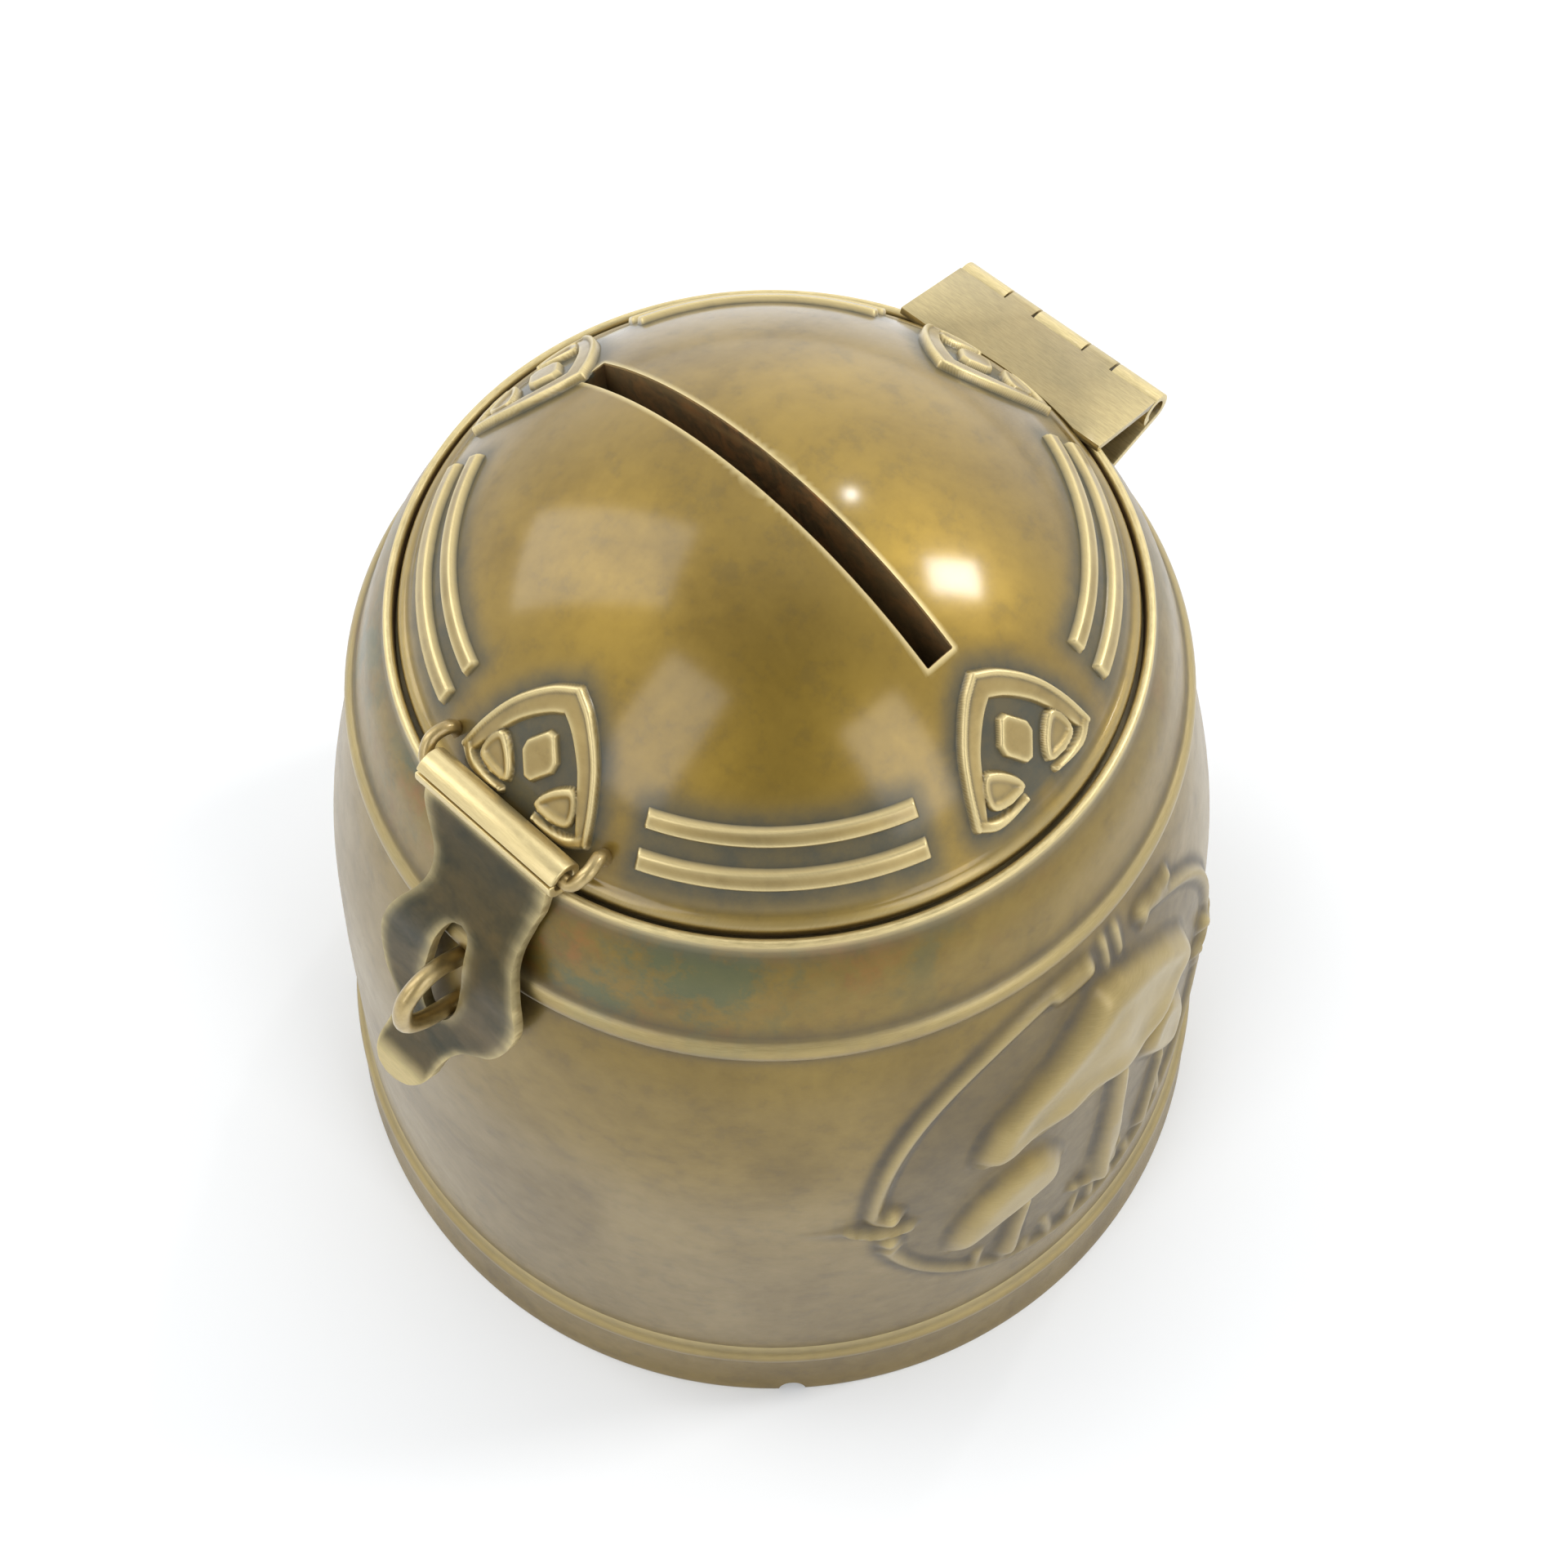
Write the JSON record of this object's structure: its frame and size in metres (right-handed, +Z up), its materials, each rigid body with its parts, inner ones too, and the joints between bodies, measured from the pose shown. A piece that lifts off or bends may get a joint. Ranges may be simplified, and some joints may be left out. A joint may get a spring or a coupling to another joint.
{
  "type": "money box",
  "caption": "Round beehive-shaped brass money box: hinged domed lid with a coin slot, swinging hasp over a wire staple, flared foot, stamped toadstool medallions.",
  "frame": {"origin": "middle of the standing edge of the foot, on the axis of the box", "axes": "+Z up along the axis of the box, -Y towards the hasp, +Y towards the hinge, +X towards one medallion"},
  "size_m": [0.0898, 0.0898, 0.0923],
  "materials": {
    "body_brass": "pressed sheet, aged brown-olive patina, worn bright on the relief",
    "lid_brass": "pressed sheet, olive-gold with fine scratches, dark in the recesses",
    "fitting_brass": "worn satin with rounded bright edges",
    "wire_brass": "rubbed bright round wire",
    "inner_brass": "dull dark brown inner surface"
  },
  "bodies": {
    "box": {"body_shell": "body_brass", "foot_ring": "body_brass", "bottom_plate": "inner_brass", "hinge_body_leaf": "fitting_brass", "hinge_pin": "inner_brass", "staple": "wire_brass"},
    "lid": {"lid_shell": "lid_brass", "lid_collar": "inner_brass", "hinge_lid_leaf": "fitting_brass", "hasp_bail": "wire_brass"},
    "hasp_plate": {"hasp": "fitting_brass"}
  },
  "joints": [
    {"name": "lid_hinge", "type": "hinge", "parent": "box", "child": "lid", "pos_m": [0, 0.0352, 0.0746], "axis": [-1, 0, 0], "range_deg": [0, 110]},
    {"name": "hasp_swing", "type": "hinge", "parent": "lid", "child": "hasp_plate", "pos_m": [0, -0.0283, 0.0799], "axis": [-1, 0, 0], "range_deg": [0, 180]}
  ]
}
